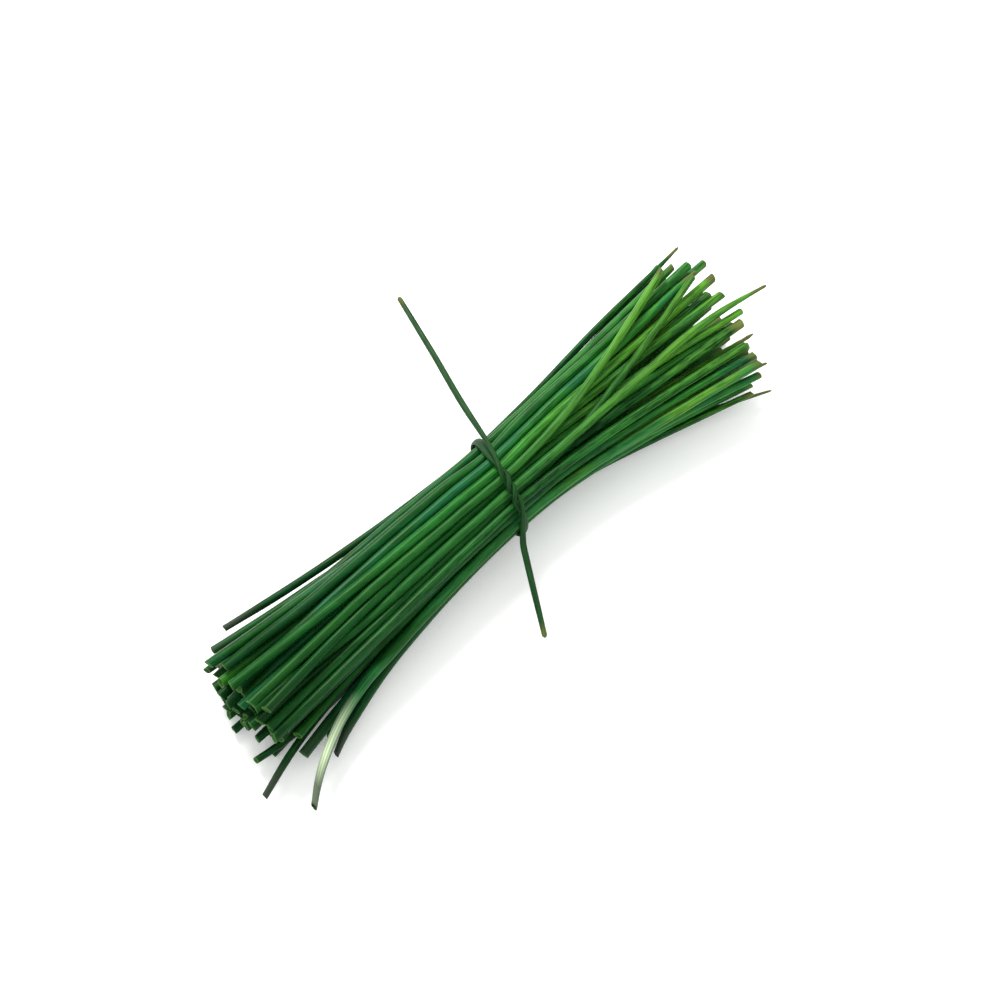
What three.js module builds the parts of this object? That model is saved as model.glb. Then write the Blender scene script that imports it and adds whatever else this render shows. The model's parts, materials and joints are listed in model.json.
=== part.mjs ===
// A bunch of cut chives lying on a flat surface, tied round its middle with one more chive.
// Millimetres, +Z up. The bunch runs along X, from the cut butts at -X to the tips at +X, and Y is across it.
// The origin is on the surface, right under the tie, where the tie's underside rests.
import * as THREE from "three";
import { mergeVertices } from "three/addons/utils/BufferGeometryUtils.js";

const { clamp, lerp, degToRad, smoothstep } = THREE.MathUtils;

// ---- Driving dimensions -------------------------------------------------------------------------------

const LEAF_COUNT = 59;
const LEAF_SIDES = 6;
const BUTT_RADIUS = { least: 1.15, most: 1.45 };
const TIP_SHARE = { least: 0.76, most: 0.88 }; // a leaf's radius where its tip is trimmed, of that at its butt
const POINT_LENGTH = 26; // an untrimmed leaf narrows to its point over this length
const POINT_SHARE = 0.3; // of the leaf's radius is left at the point
const BORE_SHARE = 0.62; // a leaf is hollow, which its cut ends show
const BORE_DEPTH = 6;
const SHORTEST_PIECE = 2; // a straight piece at either end of a leaf is longer than this
// A six-sided leaf is as stout as a round one if its corners stand this much further out.
const CORNER_SHARE = 1.05;

// The oval that the tie draws the leaves into.
const WAIST = { halfWidth: 11.9, halfHeight: 10.8 };
// The ends, where the leaves stand apart: the middle of each section, its half-sizes, how much further along
// X the section stands for each millimetre across, how far its two sides stand from its middle along X, how
// uneven it is, and how soon the bunch opens out towards it from the waist, higher being sooner.
const BUTT_END = {
  x: -85.5, y: -1, z: 11.5, halfWidth: 16.8, halfHeight: 12, slant: 0, bow: 5, uneven: 2.5, flare: 0.6,
};
const TIP_END = {
  x: 74, y: -4.4, z: 12, halfWidth: 20.2, halfHeight: 12.5, slant: 0.05, bow: -2, uneven: 2.5, flare: 1.9,
};
const SCATTER = 0.27; // how far a leaf's ends stray from the place it has in the waist, of the half-size

// Leaves with an end of their own: where it is, how far the leaf curls aside and down over its last stretch,
// and for a few the place in the waist that it comes from, its radius or its colour.
const CURL_LENGTH = 30;
const STRAY_BUTTS = [
  { x: -74, y: 19.9, z: 9, from: { y: 11.5, z: 12.3 }, radius: 0.95, colour: "deep_leaf" },
  { x: -80, y: 17, z: 10, radius: 1.05 },
  { x: -84, y: 15, z: 7, radius: 1.05 },
  { x: -85.5, y: 10.5, z: 6.5 },
  { x: -85.5, y: 6.5, z: 18, colour: "bright_leaf" },
  { x: -87, y: 4.5, z: 4 },
  { x: -88.5, y: 0.6, z: 2.5, radius: 0.95 },
  { x: -90, y: -9.5, z: 3.5, curlY: 4, radius: 0.95, colour: "leaf" },
  { x: -94.5, y: -17.5, z: 3.5, curlY: -3, radius: 0.95, colour: "leaf" },
  { x: -88, y: -28, z: 3, curlY: -8.5, curlZ: -3, from: { y: -11, z: 13 }, colour: "bright_leaf" },
  { x: -81, y: -11, z: 14.5, from: { y: -9.1, z: 16 }, colour: "deep_leaf" },
  { x: -75, y: -21, z: 3, curlY: -4, colour: "deep_leaf" },
  { x: -73.5, y: -17.5, z: 2, curlY: -1.5, colour: "deep_leaf" },
  { x: -81, y: -16.5, z: 5 },
  { x: -79.5, y: -13, z: 9, colour: "bright_leaf" },
];
const STRAY_TIPS = [
  { x: 74.2, y: 17.4, z: 12, from: { y: 9.7, z: 14.2 }, colour: "deep_leaf" },
  { x: 73.5, y: 12, z: 19 },
  { x: 81, y: 16.5, z: 14, pointed: true },
  { x: 68, y: 11, z: 25, from: { y: -3.5, z: 22 }, radius: 1.2, colour: "bright_leaf" },
  { x: 72.5, y: 4.5, z: 24, from: { y: -7, z: 19 }, colour: "bright_leaf" },
  { x: 80, y: 7, z: 18 },
  { x: 76.5, y: 4.5, z: 12 },
  { x: 77, y: 1, z: 14 },
  { x: 75.4, y: 0.2, z: 11 },
  { x: 79, y: 2.3, z: 18.5, from: { y: 0, z: 22 } },
  { x: 85.2, y: -9.6, z: 22.5, curlY: -3.8, pointed: true, from: { y: -5, z: 21 }, colour: "bright_leaf" },
  { x: 76.5, y: -2.5, z: 19.5 },
  { x: 73, y: -10.5, z: 17.5, from: { y: -3, z: 18.5 } },
  { x: 77.5, y: -14, z: 12, curlY: 1, pointed: true, colour: "bright_leaf" },
  { x: 74, y: -18.5, z: 8 },
  { x: 69.5, y: -21.6, z: 4.5 },
  { x: 73, y: -26, z: 3.5, curlY: -1.5, pointed: true },
  { x: 67.5, y: -23.5, z: 6.2, colour: "bright_leaf" },
];
const STRAY_YIELDS = 0.15; // these leaves yield this much less to their neighbours' push
const POINTED_EVERY = 5; // of the other leaves, one in this many keeps its point

const DEEP_SHARE = 0.46; // of the leaves with no colour of their own are a deep green

const CLEARANCE = 0.15; // air between neighbouring leaves
const TIE_GAP = 0.23; // and between the leaves and the tie

// The tie: one more leaf, pressed flat where it goes round the bunch, with a half knot near the top. The knot
// is at an angle from the top towards +Y, and its two strands twist about one another at a spread from their
// shared axis. The loop lies askew: its +Y side stands further along X than its -Y side.
const TIE = { sides: 8, halfWidth: 1.2, halfThickness: 0.5, freeRadius: 0.9, endRadius: 0.7, skew: 3.4 };
const KNOT = { angle: -26, length: 12, turns: 1.5, spread: 0.72, strandRadius: 0.6 };
const CROSSING_EASE = 0.08; // the strands twist more slowly in the middle of the knot than at its ends
const ASKEW = { slope: 0.28, length: 10 }; // how the loop leaves the knot's line, and over what length
const FLATTENING = 7; // the loop is pressed fully flat this far from the knot
const SWELLING = 0.35; // the share of a free end over which it grows from the knot's strand to its full size
// Where the tie's free ends run, from the knot outwards.
const BUTT_WAY = [[-4.4, -13.2, 15.6], [-6.1, -14.9, 12], [-8.8, -19.6, 8.6], [-17.4, -34.6, 3.4]];
const TIP_WAY = [[2.2, 6, 24.3], [6.1, 19.7, 21.8], [11.8, 37.2, 19], [17.5, 55.6, 15.8]];
const FREE_PIECES = 10; // straight pieces along a free end, a strand of the knot and the loop
const KNOT_PIECES = 20;
const LOOP_PIECES = 34;

// ---- Numbers worked out from them ---------------------------------------------------------------------

const STATION_STEP = 12; // the leaves are laid out on planes across the bunch, this far apart
const STATION_COUNT = 19;
const WAIST_STATION = 9;
const STATIONS = Array.from({ length: STATION_COUNT }, (_, k) => (k - WAIST_STATION) * STATION_STEP);
const FLAT_SHARE = CORNER_SHARE * Math.cos(Math.PI / LEAF_SIDES); // how far out a leaf's flat sides stand
const PRESSED = 0.2; // the bunch presses the tie flat on the surface by this much
const LOOP = {
  halfWidth: WAIST.halfWidth + TIE_GAP + TIE.halfThickness,
  halfHeight: WAIST.halfHeight + TIE_GAP + TIE.halfThickness,
};
const TIE_FLAT_SHARE = Math.cos(Math.PI / TIE.sides); // how far out the tie's flat sides stand
const WAIST_Z = LOOP.halfHeight + TIE_FLAT_SHARE * TIE.halfThickness - PRESSED;
const KNOT_REACH = KNOT.length / LOOP.halfWidth; // the angle that the knot takes up
const KNOT_START = degToRad(KNOT.angle) - KNOT_REACH / 2;
const GOLDEN_ANGLE = Math.PI * (3 - Math.sqrt(5));

let seed = 20;
function random(least = 0, most = 1) {
  seed = (seed * 1664525 + 1013904223) % 4294967296;
  return least + ((most - least) * seed) / 4294967296;
}

// ---- The leaves' places -------------------------------------------------------------------------------

// How much of the way from the waist to its end place a leaf has gone, at share t of its length: a
// hyperbola, so that the leaf bends near the waist and then runs straight.
function opened(flare, t) {
  return (Math.hypot(1, flare * t) - 1) / (Math.hypot(1, flare) - 1);
}

// A place in an end section for a leaf that stands near (u, v) in a unit circle.
function endPlace(end, u, v) {
  const strayU = u + random(-SCATTER, SCATTER);
  const strayV = v + random(-SCATTER, SCATTER);
  const tooFar = Math.max(1, Math.hypot(strayU, strayV));
  const across = (end.halfWidth * strayU) / tooFar;
  return {
    x: end.x + end.slant * across + end.bow * (across / end.halfWidth) ** 2 + random(-end.uneven, end.uneven),
    y: end.y + across,
    z: Math.max(end.z + (end.halfHeight * strayV) / tooFar, BUTT_RADIUS.most),
  };
}

// Gives each stray end to the leaf whose own end place is nearest to it, or whose place in the waist is
// nearest to the one that it comes from.
function giveStrays(leaves, strays, end) {
  const free = new Set(leaves);
  for (const stray of strays) {
    const wanted = stray.from ?? stray;
    let nearest = null;
    for (const leaf of free) {
      const place = stray.from ? leaf.waist : leaf[end];
      const miss = Math.hypot(place.y - wanted.y, place.z - wanted.z);
      if (!nearest || miss < nearest.miss) nearest = { leaf, miss };
    }
    nearest.leaf[end] = stray;
    free.delete(nearest.leaf);
  }
}

function drawnColour() {
  return random() < DEEP_SHARE ? "deep_leaf" : "leaf";
}

function plannedLeaves() {
  const leaves = [];
  for (let i = 0; i < LEAF_COUNT; i++) {
    const out = Math.sqrt((i + 0.5) / LEAF_COUNT);
    const u = out * Math.cos(i * GOLDEN_ANGLE);
    const v = out * Math.sin(i * GOLDEN_ANGLE);
    leaves.push({
      waist: { y: WAIST.halfWidth * u, z: WAIST_Z + WAIST.halfHeight * v },
      butt: endPlace(BUTT_END, u, v),
      tip: { ...endPlace(TIP_END, u, v), pointed: i % POINTED_EVERY === 0 },
      buttRadius: random(BUTT_RADIUS.least, BUTT_RADIUS.most),
      tipShare: random(TIP_SHARE.least, TIP_SHARE.most),
    });
  }
  giveStrays(leaves, STRAY_BUTTS, "butt");
  giveStrays(leaves, STRAY_TIPS, "tip");
  for (const leaf of leaves) {
    leaf.buttRadius = leaf.butt.radius ?? leaf.tip.radius ?? leaf.buttRadius;
    leaf.tipRadius = leaf.buttRadius * leaf.tipShare;
    leaf.colour = leaf.butt.colour ?? leaf.tip.colour ?? drawnColour();
  }
  return leaves;
}

function radiusAt(leaf, x) {
  const along = clamp((x - leaf.butt.x) / (leaf.tip.x - leaf.butt.x), 0, 1);
  const radius = lerp(leaf.buttRadius, leaf.tipRadius, along);
  if (!leaf.tip.pointed) return radius;
  const left = clamp((leaf.tip.x - x) / POINT_LENGTH, 0, 1);
  return radius * lerp(POINT_SHARE, 1, Math.sqrt(left));
}

// Where a leaf would run if it were alone.
function ownPlace(leaf, x) {
  const end = x < 0 ? leaf.butt : leaf.tip;
  const { curlY = 0, curlZ = 0 } = end;
  const gone = opened(x < 0 ? BUTT_END.flare : TIP_END.flare, x / end.x);
  const curled = Math.max(0, 1 - (end.x - x) / (CURL_LENGTH * Math.sign(end.x))) ** 2;
  return {
    y: lerp(leaf.waist.y, end.y - curlY, gone) + curlY * curled,
    z: lerp(leaf.waist.z, end.z - curlZ, gone) + curlZ * curled,
  };
}

// Between stations k and k + 1 two leaves run straight. Where they come closest there, they are pushed
// apart until they clear one another.
function separate(a, b, k) {
  const startY = b.y[k] - a.y[k];
  const startZ = b.z[k] - a.z[k];
  const turnY = b.y[k + 1] - a.y[k + 1] - startY;
  const turnZ = b.z[k + 1] - a.z[k + 1] - startZ;
  const turn = turnY ** 2 + turnZ ** 2;
  const at = turn > 0 ? clamp(-(startY * turnY + startZ * turnZ) / turn, 0, 1) : 0;
  const y = startY + turnY * at;
  const z = startZ + turnZ * at;
  const apart = Math.hypot(y, z) || 1e-6;
  const needed = lerp(a.r[k] + b.r[k], a.r[k + 1] + b.r[k + 1], at) + CLEARANCE;
  if (apart >= needed) return;
  const push = (needed - apart) / (apart * (a.yields + b.yields) * ((1 - at) ** 2 + at ** 2));
  for (const [station, share] of [[k, (1 - at) * push], [k + 1, at * push]]) {
    a.y[station] -= y * share * a.yields;
    a.z[station] -= z * share * a.yields;
    b.y[station] += y * share * b.yields;
    b.z[station] += z * share * b.yields;
  }
}

// Keeps a leaf inside the tie, and on or above the surface.
function hold(leaf) {
  const k = WAIST_STATION;
  const u = leaf.y[k] / (WAIST.halfWidth - leaf.r[k]);
  const v = (leaf.z[k] - WAIST_Z) / (WAIST.halfHeight - leaf.r[k]);
  const tooFar = Math.max(1, Math.hypot(u, v));
  leaf.y[k] /= tooFar;
  leaf.z[k] = WAIST_Z + (leaf.z[k] - WAIST_Z) / tooFar;
  leaf.z.forEach((z, station) => {
    leaf.z[station] = Math.max(z, FLAT_SHARE * leaf.r[station]);
  });
}

// Evens out the bends that the pushes gave a leaf, and draws it back a little to the path it would take
// alone.
function recover(values, own) {
  const EVENING = 0.3;
  const RETURN = 0.03;
  const strain = values.map((value, k) => value - own[k]);
  for (let k = 0; k < values.length; k++) {
    const before = strain[Math.max(k - 1, 0)];
    const after = strain[Math.min(k + 1, values.length - 1)];
    values[k] += EVENING * ((before + after) / 2 - strain[k]) - RETURN * strain[k];
  }
}

function layOut(leaves) {
  const ROUNDS = 600;
  const CLOSING_ROUNDS = 100; // at the end, leaves are only pushed apart
  for (const leaf of leaves) {
    const own = STATIONS.map((x) => ownPlace(leaf, x));
    leaf.ownY = own.map((place) => place.y);
    leaf.ownZ = own.map((place) => place.z);
    leaf.y = leaf.ownY.slice();
    leaf.z = leaf.ownZ.slice();
    leaf.r = STATIONS.map((x) => radiusAt(leaf, x));
    leaf.yields = STRAY_BUTTS.includes(leaf.butt) || STRAY_TIPS.includes(leaf.tip) ? STRAY_YIELDS : 1;
  }
  const runs = (leaf, k) => STATIONS[k + 1] > leaf.butt.x && STATIONS[k] < leaf.tip.x;
  for (let round = 0; round < ROUNDS; round++) {
    for (const leaf of leaves) {
      if (round >= ROUNDS - CLOSING_ROUNDS) continue;
      recover(leaf.y, leaf.ownY);
      recover(leaf.z, leaf.ownZ);
    }
    for (let k = 0; k < STATION_COUNT - 1; k++) {
      const here = leaves.filter((leaf) => runs(leaf, k));
      here.forEach((a, i) => here.slice(i + 1).forEach((b) => separate(a, b, k)));
    }
    leaves.forEach(hold);
  }
  return leaves;
}

// ---- Bodies -------------------------------------------------------------------------------------------

// Bends a body that was turned about the Y axis. What stood at height y goes to the middle that placeAt(y)
// gives, with its x and z laid along that place's two directions. Nothing goes below the surface.
function bent(turned, placeAt) {
  turned.deleteAttribute("normal");
  turned.deleteAttribute("uv");
  const points = turned.getAttribute("position");
  for (let i = 0; i < points.count; i++) {
    const { middle, alongX, alongZ } = placeAt(points.getY(i));
    const placed = middle
      .clone()
      .addScaledVector(alongX, points.getX(i))
      .addScaledVector(alongZ, points.getZ(i));
    points.setXYZ(i, placed.x, placed.y, Math.max(placed.z, 0));
  }
  return mergeVertices(turned);
}

function leafGeometry(leaf) {
  const butt = leaf.butt.x;
  const tip = leaf.tip.x;
  const buttBore = BORE_SHARE * leaf.buttRadius;
  const tipBore = BORE_SHARE * leaf.tipRadius;
  const between = STATIONS.filter((x) => x > butt + SHORTEST_PIECE && x < tip - SHORTEST_PIECE);
  const profile = [
    [0, butt + BORE_DEPTH],
    [buttBore, butt + BORE_DEPTH],
    [buttBore, butt],
    ...[butt, ...between, tip].map((x) => [CORNER_SHARE * radiusAt(leaf, x), x]),
  ];
  if (leaf.tip.pointed) profile.push([0, tip]);
  else profile.push([tipBore, tip], [tipBore, tip - BORE_DEPTH], [0, tip - BORE_DEPTH]);
  const turned = new THREE.LatheGeometry(
    profile.map(([radius, x]) => new THREE.Vector2(radius, x)),
    LEAF_SIDES,
  );
  const alongX = new THREE.Vector3(0, 0, 1);
  const alongZ = new THREE.Vector3(0, 1, 0);
  return bent(turned, (x) => {
    const at = x / STATION_STEP + WAIST_STATION;
    const k = Math.floor(at);
    const y = lerp(leaf.y[k], leaf.y[k + 1], at - k);
    const z = lerp(leaf.z[k], leaf.z[k + 1], at - k);
    return { middle: new THREE.Vector3(x, y, z), alongX, alongZ };
  });
}

// A place on the tie's oval, at an angle from its top towards +Y, with the direction out of the bunch and
// the one along the tie.
function onLoop(angle) {
  const sine = Math.sin(angle);
  const cosine = Math.cos(angle);
  return {
    middle: new THREE.Vector3(TIE.skew * sine, LOOP.halfWidth * sine, WAIST_Z + LOOP.halfHeight * cosine),
    outward: new THREE.Vector3(0, sine / LOOP.halfWidth, cosine / LOOP.halfHeight).normalize(),
  };
}

// The two strands twist about one another along the oval, from the -Y end of the knot (along = 0) to the
// +Y end (along = 1). Strand 0 starts low and ends on top, strand 1 the other way round.
function inKnot(strand, along) {
  const place = onLoop(KNOT_START + KNOT_REACH * along);
  const eased = along - CROSSING_EASE * Math.sin(2 * Math.PI * along);
  const turned = Math.PI * (1 + strand) + 2 * Math.PI * KNOT.turns * eased;
  const lift = KNOT.strandRadius - TIE.halfThickness + KNOT.spread * (1 + Math.cos(turned));
  place.middle.addScaledVector(place.outward, lift);
  place.middle.x += KNOT.spread * Math.sin(turned);
  return { ...place, halfWidth: KNOT.strandRadius, halfThickness: KNOT.strandRadius };
}

// The loop round the bunch, from the +Y end of the knot (along = 0) under the bunch to its -Y end
// (along = 1). It leaves the knot a little askew, and it is flat but for its first and last stretches.
function inLoop(along) {
  const round = 2 * Math.PI - KNOT_REACH;
  const place = onLoop(KNOT_START + KNOT_REACH + round * along);
  const fromStart = along * round * LOOP.halfWidth;
  const fromEnd = (1 - along) * round * LOOP.halfWidth;
  const askew = (distance) => ASKEW.slope * distance * Math.max(0, 1 - distance / ASKEW.length) ** 2;
  const flat = smoothstep(Math.min(fromStart, fromEnd), 0, FLATTENING);
  place.middle.addScaledVector(place.outward, (1 - flat) * (KNOT.strandRadius - TIE.halfThickness));
  place.middle.x += askew(fromEnd) - askew(fromStart);
  const halfWidth = lerp(KNOT.strandRadius, TIE.halfWidth, flat);
  const halfThickness = lerp(KNOT.strandRadius, TIE.halfThickness, flat);
  return { ...place, halfWidth, halfThickness };
}

// A free end, from where it leaves the knot.
function freeEnd(start, way) {
  const path = new THREE.CatmullRomCurve3([start.middle, ...way.map((point) => new THREE.Vector3(...point))]);
  const sections = [];
  for (let n = 1; n <= FREE_PIECES; n++) {
    const along = n / FREE_PIECES;
    const swelling = smoothstep(along, 0, SWELLING);
    const full = lerp(KNOT.strandRadius, TIE.freeRadius, swelling);
    const radius = lerp(full, TIE.endRadius, along ** 3);
    const outward = start.outward.clone().lerp(new THREE.Vector3(0, 0, 1), Math.min(1, 2 * along));
    sections.push({ middle: path.getPointAt(along), outward, halfWidth: radius, halfThickness: radius });
  }
  return sections;
}

function tieGeometry() {
  const run = (pieces, place) => Array.from({ length: pieces + 1 }, (_, n) => place(n / pieces));
  const twistIn = run(KNOT_PIECES, (along) => inKnot(1, along));
  const twistOut = run(KNOT_PIECES, (along) => inKnot(0, along));
  const sections = [
    ...freeEnd(twistIn[0], BUTT_WAY).reverse(),
    ...twistIn,
    ...run(LOOP_PIECES, inLoop).slice(1, -1),
    ...twistOut,
    ...freeEnd(twistOut[KNOT_PIECES], TIP_WAY),
  ];
  const last = sections.length - 1;
  const halfSide = Math.PI / TIE.sides;
  const turned = new THREE.CylinderGeometry(1, 1, last, TIE.sides, last, false, halfSide);
  return bent(turned, (height) => {
    const n = Math.round(height + last / 2);
    const { middle, outward, halfWidth, halfThickness } = sections[n];
    const ahead = sections[Math.min(n + 1, last)].middle.clone();
    const direction = ahead.sub(sections[Math.max(n - 1, 0)].middle).normalize();
    const across = direction.clone().cross(outward).normalize();
    const out = across.clone().cross(direction);
    return {
      middle,
      alongX: across.multiplyScalar(halfWidth),
      alongZ: out.multiplyScalar(halfThickness),
    };
  });
}

// ---- The bunch ----------------------------------------------------------------------------------------

function leafMaterial(name, color, roughness) {
  const material = new THREE.MeshStandardMaterial({ color, roughness, metalness: 0 });
  material.name = name;
  return material;
}

const materials = {
  deep_leaf: leafMaterial("deep_leaf", 0x1f5228, 0.42),
  leaf: leafMaterial("leaf", 0x2f6b2d, 0.42),
  bright_leaf: leafMaterial("bright_leaf", 0x6aa83a, 0.45),
  tie_leaf: leafMaterial("tie_leaf", 0x234a1f, 0.5),
};

function piece(name, geometry, colour) {
  const mesh = new THREE.Mesh(geometry, materials[colour]);
  mesh.name = name;
  return mesh;
}

const bunch = new THREE.Group();
bunch.name = "chive_bunch";
layOut(plannedLeaves()).forEach((leaf, i) => {
  bunch.add(piece(`leaf_${String(i + 1).padStart(2, "0")}`, leafGeometry(leaf), leaf.colour));
});
bunch.add(piece("tie_leaf", tieGeometry(), "tie_leaf"));

export default bunch;
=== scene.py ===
"""A bunch of cut chives, lying down and tied round its middle with one more chive.

Every leaf is a fine hollow tube that follows the centre line and the radius of its own solid in the frame,
and the tie follows its own solid's sections. All lengths are in metres.
"""

import json
import math

import bpy
import numpy as np
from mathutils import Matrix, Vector


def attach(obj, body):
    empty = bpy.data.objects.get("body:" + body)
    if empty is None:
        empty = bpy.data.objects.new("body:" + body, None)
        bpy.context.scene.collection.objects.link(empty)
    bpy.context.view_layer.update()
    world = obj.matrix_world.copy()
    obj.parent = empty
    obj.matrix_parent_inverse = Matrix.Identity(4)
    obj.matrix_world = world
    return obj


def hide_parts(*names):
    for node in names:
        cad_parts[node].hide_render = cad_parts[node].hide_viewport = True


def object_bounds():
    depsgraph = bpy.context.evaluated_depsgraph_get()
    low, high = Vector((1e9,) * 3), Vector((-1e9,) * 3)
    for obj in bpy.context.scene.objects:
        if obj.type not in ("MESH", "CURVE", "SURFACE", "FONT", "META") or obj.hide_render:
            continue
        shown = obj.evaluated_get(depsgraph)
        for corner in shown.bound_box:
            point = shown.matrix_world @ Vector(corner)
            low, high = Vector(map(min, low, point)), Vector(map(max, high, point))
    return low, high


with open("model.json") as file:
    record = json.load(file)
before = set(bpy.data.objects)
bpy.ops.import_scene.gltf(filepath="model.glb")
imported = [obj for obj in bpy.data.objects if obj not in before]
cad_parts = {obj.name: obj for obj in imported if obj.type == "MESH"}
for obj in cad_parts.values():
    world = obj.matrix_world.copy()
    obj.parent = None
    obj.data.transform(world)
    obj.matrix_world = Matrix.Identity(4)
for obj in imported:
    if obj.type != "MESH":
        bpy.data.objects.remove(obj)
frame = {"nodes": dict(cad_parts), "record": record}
cad_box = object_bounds()

MM = 0.001
SEED = 114561

# ---- Leaves -------------------------------------------------------------------------------------------

LEAF_SIDES = 18  # round a leaf
RING_STEP = 1.7 * MM  # along a leaf
CORNER_SHARE = 1.05  # a solid's corners stand this much further out than the leaf's own radius
BORE_LAYERS = 3  # the layers of corners in a solid's hollow end: its pole and two rings
SAME_PLACE = 0.1 * MM  # corners nearer to each other than this are at the same X
SWELLING = 0.08 * MM  # the leaves fill the air between their solids, and so touch
WALL = 0.27 * MM  # a leaf is hollow, with a wall this thick
BORE_DEPTH = 11 * MM  # how deep a cut end is open
END_LENGTH = 1.5 * MM  # the evenly spaced rings stay this far from a leaf's ends
CUT_SLANT = 0.35  # the steepest that a cut stands out of square
SLANT_REACH = 2 * MM  # how far along a leaf its cut's slant is felt
RAGGED = 0.05 * MM  # how uneven a cut's rim is
RIM = {"cut": 0.7, "share": 0.8}  # it is more cut than this, and further out, of the radius
PINCH = 0.24  # the most that a cut end is squeezed flat, of its width
PINCH_LENGTH = 7 * MM
FULLNESS = 1.015  # a squeezed leaf bulges this much on its other sides
MOST_OVAL = 0.09  # how far from round a leaf is along its length
TWIST = 2  # radians: how far its oval turns from end to end, at most
RIBS = {"count": 3, "height": 0.012}
WAVER = 0.028  # how much its radius wavers
WAVES = (19 * MM, 31 * MM, 47 * MM)  # over these lengths
DENT = {"share": 0.3, "depth": 0.3, "length": 2.2 * MM}  # a crease that some leaves have

WITHERED = 9 * MM  # a leaf that keeps its point is withered over about this length
WITHERED_POINT = (0.7, 1)  # how withered a point is, and a trimmed tip
WITHERED_CUT = (0.25, 0.75)
WRINKLES = {"depth": 0.16, "length": 3.1 * MM}  # along a withered point
BUTTS_MIDDLE = (-82 * MM, 0)
OUTLYING = (14 * MM, 22 * MM)  # a butt this far from the middle of them all is a little dried, or much
DRIED_LENGTH = 10 * MM
SHRINKING = 0.22  # of a dried butt's radius
APART = 26 * MM  # a leaf whose butt lies this far out is pale there on its upper side, towards the key light: partly its own fade, partly a painted highlight
FADING_HIGHLIGHT = {"from_butt": (0, 10 * MM, 18 * MM, 26 * MM), "share": (1, 1, 0.6, 0)}
HIGHLIT_SIDE = {"shift": 0.5, "share": 0.55, "edge": 1.3}  # the pale upper side faces the key light, as a painted highlight: how far it is turned, how wide and how sharp

EDGE_ANGLE = math.radians(48)  # faces that meet more sharply than this keep an edge
ANY_PHASE = 7  # radians, more than a whole turn: a wave starts anywhere from 0 to this
PATTERN_LENGTH = 900  # millimetres of pattern, on which each leaf starts at a place of its own

# ---- The tie ------------------------------------------------------------------------------------------

TIE_SIDES = 16
TIE_STEP = 0.45 * MM
TIE_FULLNESS = 0.97  # between its solid's corners and flat sides
TIE_GROOVES = {"count": 5, "depth": 0.05, "sway": 3, "sway_length": 9 * MM}  # along a wilted leaf
TIE_END = {"least": 0.15, "rounding": 0.6 * MM, "cut": 0.9 * MM, "withered": 12 * MM}  # from its very end
TIE_MARKS = {"fresh": 0, "own": 0.4, "bluish": 0.5, "dried": 0, "faded_highlight": 0}  # the same all along it
TIE_WITHERED = 0.6  # at its ends

# ---- View and light -----------------------------------------------------------------------------------

LENS = 85  # millimetres, on the usual 36 mm sensor
VIEW_ELEVATION = 65
VIEW_AZIMUTH = -43.795  # 0 looks along +Y
VIEW_DISTANCE = 590 * MM
VIEW_CENTRE = Vector((-1.86, -2.3, 10.63)) * MM
NEAREST = 10 * MM  # the camera sees nothing nearer than this
SKY = (0.98, 0.99, 0.98, 1)
SKY_STRENGTH = 1.12
KEY_LIGHT = {  # a large soft lamp, behind and above: sizes in metres, power in watts
    "azimuth": 160,
    "elevation": 50,
    "distance": 1.3,
    "size": 0.5,
    "power": 17,
    "colour": (1, 0.98, 0.94),
}


def smooth_through(knots, values, at):
    """Values on a smooth curve through the given ones, one row for each knot."""
    slopes = np.gradient(values, knots, axis=0)
    k = np.clip(np.searchsorted(knots, at, side="right") - 1, 0, len(knots) - 2)
    span = (knots[k + 1] - knots[k])[:, None]
    t = (at - knots[k])[:, None] / span
    start, end = values[k], values[k + 1]
    leaving, arriving = slopes[k] * span, slopes[k + 1] * span
    return (
        start * (2 * t**3 - 3 * t**2 + 1)
        + leaving * (t**3 - 2 * t**2 + t)
        + end * (3 * t**2 - 2 * t**3)
        + arriving * (t**3 - t**2)
    )


def rings_of(node):
    """The rings of corners that a turned solid is made of, from its pole at the lowest X to the other."""
    mesh = frame["nodes"][node].data
    numbers = {}
    spots = []
    of_vertex = []
    for vertex in mesh.vertices:
        key = tuple(round(c / MM, 3) for c in vertex.co)
        if key not in numbers:
            numbers[key] = len(spots)
            spots.append(vertex.co[:])
        of_vertex.append(numbers[key])
    near = [set() for _ in spots]
    for polygon in mesh.polygons:
        corners = [of_vertex[v] for v in polygon.vertices]
        for a in corners:
            near[a].update(c for c in corners if c != a)

    def layers_from(start):
        layers = [[start]]
        seen = {start}
        while True:
            layer = set().union(*(near[v] for v in layers[-1])) - seen
            if not layer:
                return layers
            seen |= layer
            layers.append(sorted(layer))

    def is_pole(v):
        ring = near[v]
        return len(set().union(*(near[n] for n in ring)) - ring - {v}) == len(ring)

    spots = np.array(spots)
    poles = [v for v in range(len(spots)) if is_pole(v)]
    for pole in sorted(poles, key=lambda v: spots[v][0]):
        layers = layers_from(pole)
        if len(layers[-1]) == 1 and len({len(layer) for layer in layers[1:-1]}) == 1:
            return [spots[layer] for layer in layers]
    raise RuntimeError(f"{node} is not a turned solid")


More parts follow.
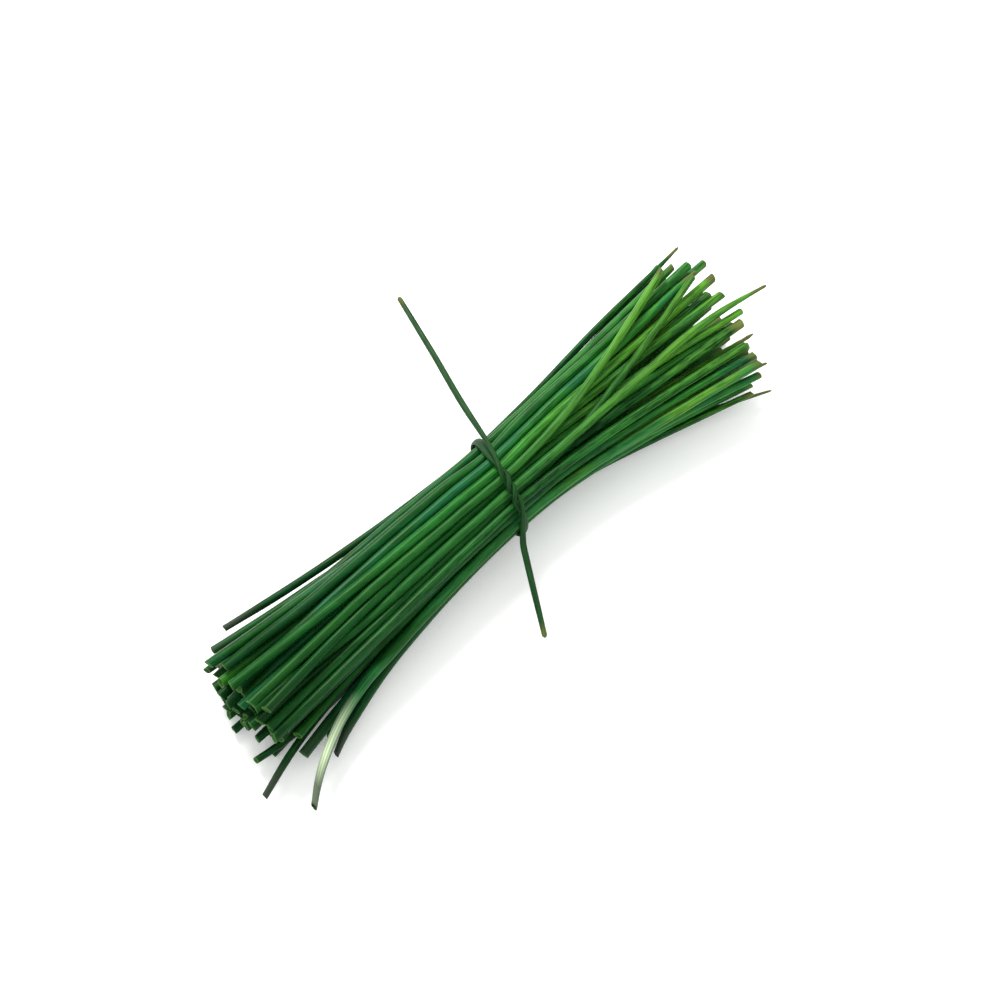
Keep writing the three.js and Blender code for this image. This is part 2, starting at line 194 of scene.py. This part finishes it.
def tube(name, rings, poles, marks):
    """A closed tube over rings of points, with a pole at each end. Marks are what the material reads: each
    is a number for every ring or every point, or a place for every point. A pole takes its nearest
    ring's."""
    count, sides, _ = rings.shape
    vertices = [tuple(p) for ring in rings for p in ring] + [tuple(p) for p in poles]
    first, last = count * sides, count * sides + 1
    faces = []
    for j in range(sides):
        after = (j + 1) % sides
        faces.append((first, after, j))
        for k in range(count - 1):
            row, above = k * sides, (k + 1) * sides
            faces.append((row + j, row + after, above + after, above + j))
        top = (count - 1) * sides
        faces.append((last, top + j, top + after))
    mesh = bpy.data.meshes.new(name)
    mesh.from_pydata(vertices, [], faces)
    for mark, values in marks.items():
        if values.ndim == 1:
            values = np.repeat(values[:, None], sides, axis=1)
        kind, field = ("FLOAT", "value") if values.ndim == 2 else ("FLOAT_VECTOR", "vector")
        ends = values[[0, -1]].mean(axis=1)
        of_points = np.concatenate([values.reshape(count * sides, *values.shape[2:]), ends])
        mesh.attributes.new(mark, kind, "POINT").data.foreach_set(field, of_points.ravel())
    mesh.polygons.foreach_set("use_smooth", np.ones(len(mesh.polygons), bool))
    mesh.set_sharp_from_angle(angle=EDGE_ANGLE)
    piece = bpy.data.objects.new(name, mesh)
    bpy.context.scene.collection.objects.link(piece)
    return piece


def rolled_out(turn, along, shift):
    """Where each point would be on a straight round leaf: what the material's patterns are laid along."""
    forward = np.broadcast_to(along[:, None] / MM + shift, turn.shape)
    return np.stack([np.cos(turn), np.sin(turn), forward], -1)


class LeafForm:
    """The round leaf that a solid stands for: its centre line, its radius and its ends."""

    def __init__(self, node):
        layers = rings_of(node)
        middles = np.array([layer.mean(axis=0) for layer in layers])
        reach = [np.linalg.norm(layer - m, axis=1).max() for layer, m in zip(layers, middles)]
        foremost = middles[:, 0].max()
        self.pointed = middles[-1][0] > foremost - SAME_PLACE
        outside = slice(BORE_LAYERS, -1 if self.pointed else -BORE_LAYERS)
        self.knots = middles[outside, 0]
        radii = np.array(reach)[outside] / CORNER_SHARE + SWELLING
        self.values = np.column_stack([middles[outside, 1:], radii])
        self.butt, self.tip = self.knots[0], self.knots[-1]

    def at(self, x):
        """The middle's y and z, and the radius, at each x."""
        inside = np.clip(x, self.butt, self.tip)
        return smooth_through(self.knots, self.values, inside)


def cut_end(form, end, inward):
    """The rings of a cut end, from the bottom of its bore, which narrows inwards, over its rim."""
    inner_radius = 1 - WALL / form.at(np.array([end]))[0, 2]
    return [
        (end + inward * BORE_DEPTH, 0.86 * inner_radius, 1.0),
        (end + inward * 0.5 * BORE_DEPTH, 0.95 * inner_radius, 1.0),
        (end + inward * 1.2 * MM, inner_radius, 1.0),
        (end + inward * 0.08 * MM, inner_radius + 0.02, 1.0),
        (end, inner_radius + 0.06, 1.0),
        (end, 0.96, 1.0),
        (end + inward * 0.06 * MM, 0.995, 0.75),
        (end + inward * 0.35 * MM, 1.0, 0.3),
        (end + inward * 1.0 * MM, 1.0, 0.0),
    ]


def natural_point(form):
    """The rings of an untrimmed tip, which is a little blunt."""
    return [
        (form.tip - 0.9 * MM, 1.0, 0.0),
        (form.tip - 0.3 * MM, 0.85, 0.0),
        (form.tip - 0.08 * MM, 0.5, 0.0),
    ]


def leaf_rings(form):
    """A leaf's rings, from its butt to its tip: for each its x, the share of the leaf's radius that it
    stands out, and how much of it is cut flesh."""
    spaced = np.linspace(form.butt, form.tip, round((form.tip - form.butt) / RING_STEP))
    body = [(x, 1.0, 0.0) for x in spaced if form.butt + END_LENGTH < x < form.tip - END_LENGTH]
    tip = natural_point(form) if form.pointed else cut_end(form, form.tip, -1)[::-1]
    return np.array(cut_end(form, form.butt, 1) + body + tip).T


def wavering(form, x, dried, random):
    """How a leaf's radius wavers, as a share of it: it is also shrunken where it is dried, and wrinkled
    at a withered point."""
    waver = -SHRINKING * dried
    for wave in WAVES:
        waver += np.sin(2 * math.pi * x / wave + random.uniform(0, ANY_PHASE)) * WAVER / 2
    if form.pointed:
        shrivel = np.clip(1 - (form.tip - x) / WITHERED, 0, 1)
        wrinkles = np.sin(2 * math.pi * x / WRINKLES["length"] + random.uniform(0, ANY_PHASE))
        waver += WRINKLES["depth"] * shrivel * wrinkles
    return waver


def squeezing(form, x, random):
    """How flat a leaf is squeezed, as a share of its width: at its cut ends, a little all along, and
    where it has a dent."""
    squeeze = np.zeros(len(x))
    if not form.pointed:
        squeeze += random.uniform(0.3, 1) * PINCH * np.exp(-(form.tip - x) / PINCH_LENGTH)
    squeeze += random.uniform(0.2, 1) * MOST_OVAL
    squeeze += random.uniform(0.2, 1) * PINCH * np.exp(-(x - form.butt) / PINCH_LENGTH)
    if random.random() < DENT["share"]:
        dent_at = form.butt + random.uniform(0.15, 0.85) * (form.tip - form.butt)
        depth = random.uniform(0.4, 1) * DENT["depth"]
        squeeze += depth * np.exp(-(((x - dent_at) / DENT["length"]) ** 2))
    return squeeze


def fine_leaf(name, node, random):
    """A leaf, on the centre line and with the radius of its solid."""
    fresh, own, bluish = random.uniform(0, 1, 3)
    form = LeafForm(node)
    x, share, cut = leaf_rings(form)
    middle_y, middle_z, radius = form.at(x).T
    from_butt = x - form.butt
    from_tip = form.tip - x
    outlying = math.dist((form.butt, form.values[0, 0]), BUTTS_MIDDLE)
    dried = np.interp(outlying, OUTLYING, (0, 1)) * np.clip(1 - from_butt / DRIED_LENGTH, 0, 1)

    waver = wavering(form, x, dried, random)[:, None]
    squeeze = squeezing(form, x, random)[:, None]
    flat_way = random.uniform(0, math.pi) + random.uniform(-TWIST, TWIST) * x / (form.tip - form.butt)
    turn = np.linspace(0, 2 * math.pi, LEAF_SIDES, endpoint=False)
    turn = np.broadcast_to(turn, (len(x), LEAF_SIDES))
    towards = np.cos(turn - flat_way[:, None]) ** 2
    rib = RIBS["height"] * np.cos(RIBS["count"] * turn + random.uniform(0, ANY_PHASE))
    out = (radius * share)[:, None] * (1 + waver + rib) * (FULLNESS - squeeze * towards)
    y, z = out * np.cos(turn), out * np.sin(turn)

    # The cuts slant, and their rims are uneven.
    butt_slant, tip_slant = random.uniform(-CUT_SLANT, CUT_SLANT, (2, 2))
    near_butt = np.exp(-((from_butt / SLANT_REACH) ** 2))[:, None]
    near_tip = np.exp(-((from_tip / SLANT_REACH) ** 2))[:, None] * (not form.pointed)
    slanted = near_butt * (butt_slant[0] * y + butt_slant[1] * z)
    slanted += near_tip * (tip_slant[0] * y + tip_slant[1] * z)
    rim = ((cut > RIM["cut"]) & (share > RIM["share"]))[:, None]
    ragged = random.uniform(-1, 1, turn.shape) * RAGGED * rim
    rings = np.stack([x[:, None] + slanted + ragged, middle_y[:, None] + y, middle_z[:, None] + z], -1)
    rings[..., 2] = np.maximum(rings[..., 2], 0)
    poles = [rings[0].mean(axis=0), rings[-1].mean(axis=0)]

    most_withered = random.uniform(*(WITHERED_POINT if form.pointed else WITHERED_CUT))
    # An outlying butt is pale on its upper side, towards the key light: partly its own fade, partly a
    # painted highlight.
    fading_highlight = np.interp(from_butt, FADING_HIGHLIGHT["from_butt"], FADING_HIGHLIGHT["share"]) * (outlying > APART)
    upwards = np.sin(turn + HIGHLIT_SIDE["shift"])
    lit_upper_side = np.clip(HIGHLIT_SIDE["share"] + HIGHLIT_SIDE["edge"] * upwards, 0, 1)
    marks = {
        "rolled_out": rolled_out(turn, from_butt, random.uniform(0, PATTERN_LENGTH)),
        "along": (x - cad_box[0][0]) / (cad_box[1][0] - cad_box[0][0]),
        "cut": cut,
        "withered": np.clip(most_withered - from_tip / WITHERED, 0, 1),
        "fresh": np.full(len(x), fresh),
        "own": np.full(len(x), own),
        "bluish": np.full(len(x), bluish),
        "dried": dried,
        "faded_highlight": fading_highlight[:, None] * lit_upper_side,
    }
    return tube(name, rings, poles, marks)


def fine_tie(name, node, random):
    """The tie, on the path and the sections of its solid, but rounder, and grooved as a wilted leaf is."""
    layers = rings_of(node)[1:-1]
    middles = np.array([layer.mean(axis=0) for layer in layers])
    spreads = [2 * (layer - m).T @ (layer - m) / len(layer) for layer, m in zip(layers, middles)]
    steps = np.linalg.norm(np.diff(middles, axis=0), axis=1)
    knots = np.concatenate([[0], np.cumsum(steps)])
    at = np.linspace(0, knots[-1], round(knots[-1] / TIE_STEP))
    values = smooth_through(knots, np.column_stack([middles, np.array(spreads).reshape(-1, 9)]), at)
    path = values[:, :3]
    ahead = np.gradient(path, at, axis=0)
    ahead /= np.linalg.norm(ahead, axis=1)[:, None]

    side = np.cross(ahead[0], (0, 0, 1))
    turn = np.linspace(0, 2 * math.pi, TIE_SIDES, endpoint=False)
    turn = np.broadcast_to(turn, (len(at), TIE_SIDES))
    sway = TIE_GROOVES["sway"] * np.sin(at / TIE_GROOVES["sway_length"])[:, None]
    groove = 1 - TIE_GROOVES["depth"] * (0.5 + 0.5 * np.cos(TIE_GROOVES["count"] * turn + sway))
    end = np.minimum(at, knots[-1] - at)
    closing = np.sqrt(np.clip(TIE_END["least"] + end / TIE_END["rounding"], 0, 1))
    rings = []
    for k, (middle, direction) in enumerate(zip(path, ahead)):
        side = side - direction * side.dot(direction)
        side /= np.linalg.norm(side)
        up = np.cross(side, direction)
        spread, axes = np.linalg.eigh(values[k, 3:].reshape(3, 3))
        stretch = axes @ np.diag(np.sqrt(np.maximum(spread, 0))) @ axes.T
        circle = np.outer(np.cos(turn[k]), side) + np.outer(np.sin(turn[k]), up)
        rings.append(middle + (circle @ stretch) * (TIE_FULLNESS * closing[k] * groove[k])[:, None])
    rings = np.array(rings)
    rings[..., 2] = np.maximum(rings[..., 2], 0)
    poles = [rings[0].mean(axis=0), rings[-1].mean(axis=0)]
    marks = {
        "rolled_out": rolled_out(turn, at, random.uniform(0, PATTERN_LENGTH)),
        "along": at / knots[-1],
        "cut": np.clip(1 - end / TIE_END["cut"], 0, 1),
        "withered": np.clip(TIE_WITHERED - end / TIE_END["withered"], 0, 1),
        **{mark: np.full(len(at), float(value)) for mark, value in TIE_MARKS.items()},
    }
    return tube(name, rings, poles, marks)


# ---- Materials ----------------------------------------------------------------------------------------


class Wire:
    """One output of a shader node. Arithmetic on it adds Math nodes to its surface."""

    def __init__(self, surface, socket):
        self.surface = surface
        self.socket = socket

    def calculated(self, operation, *inputs):
        return self.surface.node("ShaderNodeMath", {"operation": operation}, dict(enumerate(inputs)))

    def __add__(self, other):
        return self.calculated("ADD", self, other)

    def __radd__(self, other):
        return self.calculated("ADD", other, self)

    def __sub__(self, other):
        return self.calculated("SUBTRACT", self, other)

    def __rsub__(self, other):
        return self.calculated("SUBTRACT", other, self)

    def __mul__(self, other):
        return self.calculated("MULTIPLY", self, other)

    def __rmul__(self, other):
        return self.calculated("MULTIPLY", other, self)

    def sine(self):
        return self.calculated("SINE", self)

    def angle_from(self, other):
        return self.calculated("ARCTAN2", self, other)

    def held(self):
        """Kept between 0 and 1."""
        return self.surface.node("ShaderNodeClamp", {}, {"Value": self})

    def between(self, low, high):
        """0 up to low, 1 from high, and smooth in between."""
        settings = {"interpolation_type": "SMOOTHSTEP"}
        sockets = {"Value": self, "From Min": low, "From Max": high}
        return self.surface.node("ShaderNodeMapRange", settings, sockets)

    def also(self, output):
        """Another output of the same node."""
        return Wire(self.surface, self.socket.node.outputs[output])


class Surface:
    """A material that is built from expressions."""

    def __init__(self, name):
        self.material = bpy.data.materials.new(name)
        self.material.use_nodes = True
        self.tree = self.material.node_tree
        self.tree.nodes.clear()

    def node(self, kind, settings, sockets, output=0):
        made = self.tree.nodes.new(kind)
        for setting, value in settings.items():
            setattr(made, setting, value)
        for socket, value in sockets.items():
            if isinstance(value, Wire):
                self.tree.links.new(value.socket, made.inputs[socket])
            else:
                made.inputs[socket].default_value = value
        return Wire(self, made.outputs[output] if made.outputs else None)

    def mark(self, name, output="Fac"):
        """What the mesh says at each point under this name."""
        return self.node("ShaderNodeAttribute", {"attribute_name": name}, {}, output)

    def mix(self, factor, first, second):
        """A colour between two colours, at a factor."""
        first, second = (c if isinstance(c, Wire) else (*c, 1) for c in (first, second))
        return self.node("ShaderNodeMix", {"data_type": "RGBA"}, {0: factor, 6: first, 7: second}, 2)

    def stretched(self, place, scale):
        """A place with its three parts scaled, so that a pattern is drawn out where the scale is small."""
        return self.node("ShaderNodeVectorMath", {"operation": "MULTIPLY"}, {0: place, 1: scale})

    def noise(self, place, scale, detail):
        return self.node("ShaderNodeTexNoise", {}, {"Vector": place, "Scale": scale, "Detail": detail})

    def finish(self, sockets):
        shader = self.node("ShaderNodeBsdfPrincipled", {}, sockets)
        self.node("ShaderNodeOutputMaterial", {}, {"Surface": shader})
        return self.material


VEIN_COUNT = 11
VEIN_SHADE = (0.002, 0.022, 0.005)
SPECK = (0.12, 0.23, 0.06)
STRAW = ((0.13, 0.16, 0.04), (0.050, 0.050, 0.018))
FADED_AND_HIGHLIGHT = ((0.62, 0.74, 0.52), (0.40, 0.52, 0.30))  # a pale butt's colours between the veins and on them: partly its own fade, partly a painted highlight
DRIED = (0.036, 0.047, 0.034)
FLESH = ((0.075, 0.20, 0.04), (0.025, 0.095, 0.02))
DRIED_FLESH = (0.13, 0.10, 0.05)
WAX = 1.3  # the refractive index of the skin's thin wax
WAX_LEVEL = 0.3  # it is broken, so it mirrors less than its index says
WAX_TINT = (0.70, 1, 0.60, 1)
BLOOMING = 0.85  # how much of the green the bloom hides, at most
SPECKING = 0.25  # how much of it a pale speck hides
SHADES = {"veins": 0.25, "streaks": 0.35, "mottling": 0.35, "own": 0.65}  # how much each darkens a leaf
DRYING = {"reach": 1.6, "most": 0.85}  # how far a dried butt's colour goes, and how much it hides
ROUGHENING = {"streaks": 0.16, "fine": 0.10, "dry": 0.25, "cut": 0.1}
USUAL_ROUGHENING = 0.12  # what the streaks and the fine grain add on average
RELIEF = {"veins": 0.5, "fine": 0.25, "streaks": 0.5, "strength": 0.35, "depth": 0.12 * MM}


def leaf_skin(name, at_ends, at_butts, in_middle, at_tips, bloom, dullness):
    """The waxy skin of a chive: its green changes from the butts to the tips, is streaked and veined, and
    has a bluish bloom in patches. Its tips are withered to straw, its outlying butts are dried, or pale on
    the upper side towards the key light, partly their own fade and partly a painted highlight, and its
    flesh is pale where it is cut."""
    skin = Surface(name)
    place = skin.mark("rolled_out", "Vector")
    along = skin.mark("along")
    own = skin.mark("own")
    cut = skin.mark("cut")

    # Patterns, which are all drawn out along the leaf.
    streaks = skin.noise(skin.stretched(place, (1.5, 1.5, 0.03)), 1.5, 3.0)
    patches = skin.noise(skin.stretched(place, (0.5, 0.5, 0.06)), 1.0, 2.0)
    fine = skin.noise(skin.stretched(place, (4.0, 4.0, 0.8)), 2.0, 2.0)
    mottling = skin.noise(skin.stretched(place, (1.2, 1.2, 0.18)), 1.4, 4.0)
    sides = skin.node("ShaderNodeSeparateXYZ", {}, {"Vector": place})
    veins = (sides.also("Y").angle_from(sides) * VEIN_COUNT + streaks * 7).sine() * 0.5 + 0.5

    # The green, from the butts to the tips, and the bloom on it.
    end = (along + (patches - 0.5) * 0.1).between(0.14, 0.04) * skin.mark("fresh").between(0.5, 0.6)
    colour = skin.mix(end, at_butts, at_ends)
    colour = skin.mix((along + (patches - 0.5) * 0.3).between(0.1, 0.6), colour, in_middle)
    towards_tip = (along + (own - 0.5) * 0.25 + (streaks - 0.5) * 0.5).between(0.55, 1.02)
    colour = skin.mix(towards_tip, colour, at_tips)
    bloomed = patches.between(0.40, 0.62) * skin.mark("bluish") * BLOOMING
    colour = skin.mix(bloomed, colour, bloom)

    # What darkens it, lightens it in specks, and paints pale the upper side of an outlying butt: partly a
    # fade, partly a painted highlight towards the key light.
    dark_streaks = streaks.between(0.62, 0.36) * SHADES["streaks"]
    dark_spots = mottling.between(0.58, 0.4) * SHADES["mottling"]
    own_shade = (0.5 - own) * SHADES["own"]
    shaded = (veins * SHADES["veins"] + (dark_streaks + dark_spots) + own_shade).held()
    colour = skin.mix(shaded, colour, VEIN_SHADE)
    colour = skin.mix(fine.between(0.66, 0.74) * SPECKING, colour, SPECK)
    # Painted highlight, partly a real fade: the pale upper side of an outlying butt.
    colour = skin.mix((skin.mark("faded_highlight") * (streaks + 0.45)).held(), colour, skin.mix(veins, *FADED_AND_HIGHLIGHT))

    # The dry tips, the cut flesh and the dried butts.
    dry = (skin.mark("withered") * 1.5 + streaks * 0.9 - 0.75).between(0.0, 0.55)
    colour = skin.mix(dry, colour, skin.mix(streaks.between(0.3, 0.75), *STRAW))
    flesh = skin.mix(fine.between(0.35, 0.65), *FLESH)
    flesh = skin.mix(own.between(0.93, 0.96), flesh, DRIED_FLESH)
    colour = skin.mix(cut.between(0.15, 0.9), colour, flesh)
    dried_butt = (skin.mark("dried") * DRYING["reach"]).held() * DRYING["most"]
    colour = skin.mix(dried_butt, colour, DRIED)

    roughened = streaks * ROUGHENING["streaks"] + fine * ROUGHENING["fine"] + dry * ROUGHENING["dry"]
    roughness = roughened + cut * ROUGHENING["cut"] + (dullness - USUAL_ROUGHENING)
    height = veins * RELIEF["veins"] + fine * RELIEF["fine"] + streaks * RELIEF["streaks"]
    relief = {"Strength": RELIEF["strength"], "Distance": RELIEF["depth"], "Height": height}
    normal = skin.node("ShaderNodeBump", {}, relief)
    wax = {"IOR": WAX, "Specular IOR Level": WAX_LEVEL, "Specular Tint": WAX_TINT}
    return skin.finish({"Base Color": colour, "Roughness": roughness.held(), "Normal": normal, **wax})


# The greens at the very ends, in the half at the butts, in the middle and in the half at the tips, and the
# bloom's.
DEEP = (
    (0.003, 0.034, 0.005),
    (0.002, 0.040, 0.006),
    (0.008, 0.104, 0.012),
    (0.032, 0.200, 0.022),
    (0.006, 0.095, 0.042),
)
MIDDLING = (
    (0.006, 0.070, 0.007),
    (0.005, 0.068, 0.008),
    (0.013, 0.145, 0.015),
    (0.105, 0.340, 0.028),
    (0.008, 0.115, 0.045),
)
BRIGHT = (
    (0.030, 0.185, 0.010),
    (0.005, 0.062, 0.007),
    (0.015, 0.118, 0.017),
    (0.080, 0.250, 0.022),
    (0.020, 0.160, 0.040),
)
OF_THE_TIE = (
    (0.032, 0.070, 0.030),
    (0.016, 0.070, 0.018),
    (0.012, 0.072, 0.014),
    (0.036, 0.090, 0.034),
    (0.020, 0.070, 0.030),
)
SKINS = {
    "deep_leaf": leaf_skin("deep_leaf_skin", *DEEP, 0.34),
    "leaf": leaf_skin("leaf_skin", *MIDDLING, 0.34),
    "bright_leaf": leaf_skin("bright_leaf_skin", *BRIGHT, 0.36),
    "tie_leaf": leaf_skin("tie_leaf_skin", *OF_THE_TIE, 0.5),
}


FLOOR_GLOW = 0.14
PALE = ((0.94, 0.94, 0.94), (0.96, 0.96, 0.955))


def floor_surface():
    """A smooth pale board, a little uneven in tone and sheen, and faintly lit from below."""
    board = Surface("pale_board")
    place = board.node("ShaderNodeTexCoord", {}, {}, "Object")
    clouds = board.noise(place, 3.0, 2.0)
    colour = board.mix(clouds, *PALE)
    glow = {"Emission Color": (1, 1, 1, 1), "Emission Strength": FLOOR_GLOW}
    return board.finish({"Base Color": colour, "Roughness": clouds * 0.1 + 0.5, **glow})


# ---- The bunch ----------------------------------------------------------------------------------------


def dress(piece, node, slot):
    piece.data.materials.append(SKINS[slot])
    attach(piece, "root")
    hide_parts(node)


for number, subpart in enumerate(frame["record"]["subparts"]):
    node = subpart["node"]
    random = np.random.default_rng((SEED, number))
    make = fine_tie if node == "tie_leaf" else fine_leaf
    dress(make(f"chive_{node}", node, random), node, subpart["material_slot"])

# ---- Floor, light and view ----------------------------------------------------------------------------

FLOOR_SIZE = 8  # metres, so that its edges are out of sight
FLOOR_DROP = 0.05 * MM  # below the lowest leaves


def make_floor():
    half = FLOOR_SIZE / 2
    mesh = bpy.data.meshes.new("floor")
    outline = ((-half, -half), (half, -half), (half, half), (-half, half))
    corners = [(x, y, -FLOOR_DROP) for x, y in outline]
    mesh.from_pydata(corners, [], [(0, 1, 2, 3)])
    mesh.materials.append(floor_surface())
    floor = bpy.data.objects.new("floor", mesh)
    bpy.context.scene.collection.objects.link(floor)


def direction(azimuth, elevation):
    """From the bunch towards something seen at an azimuth, where 0 is -Y and 90 is +X."""
    a, e = math.radians(azimuth), math.radians(elevation)
    return Vector((math.sin(a) * math.cos(e), -math.cos(a) * math.cos(e), math.sin(e)))


def area_light(name, azimuth, elevation, distance, size, power, colour):
    lamp = bpy.data.lights.new(name, "AREA")
    lamp.shape = "DISK"
    lamp.size = size
    lamp.energy = power
    lamp.color = colour
    light = bpy.data.objects.new(name, lamp)
    towards = direction(azimuth, elevation)
    light.location = towards * distance
    light.rotation_mode = "QUATERNION"
    light.rotation_quaternion = towards.to_track_quat("Z", "Y")
    bpy.context.scene.collection.objects.link(light)


def light_the_studio():
    world = bpy.data.worlds.new("studio")
    world.use_nodes = True
    sky = world.node_tree.nodes["Background"]
    sky.inputs["Color"].default_value = SKY
    sky.inputs["Strength"].default_value = SKY_STRENGTH
    bpy.context.scene.world = world
    area_light("key", **KEY_LIGHT)
    bpy.context.scene.view_settings.view_transform = "Standard"


def make_camera():
    lens = bpy.data.cameras.new("camera")
    lens.lens = LENS
    camera = bpy.data.objects.new("camera", lens)
    back = direction(VIEW_AZIMUTH, VIEW_ELEVATION)
    camera.location = VIEW_CENTRE + back * VIEW_DISTANCE
    camera.rotation_mode = "QUATERNION"
    camera.rotation_quaternion = back.to_track_quat("Z", "Y")
    lens.clip_start = NEAREST
    bpy.context.scene.collection.objects.link(camera)
    bpy.context.scene.camera = camera


make_floor()
light_the_studio()
make_camera()
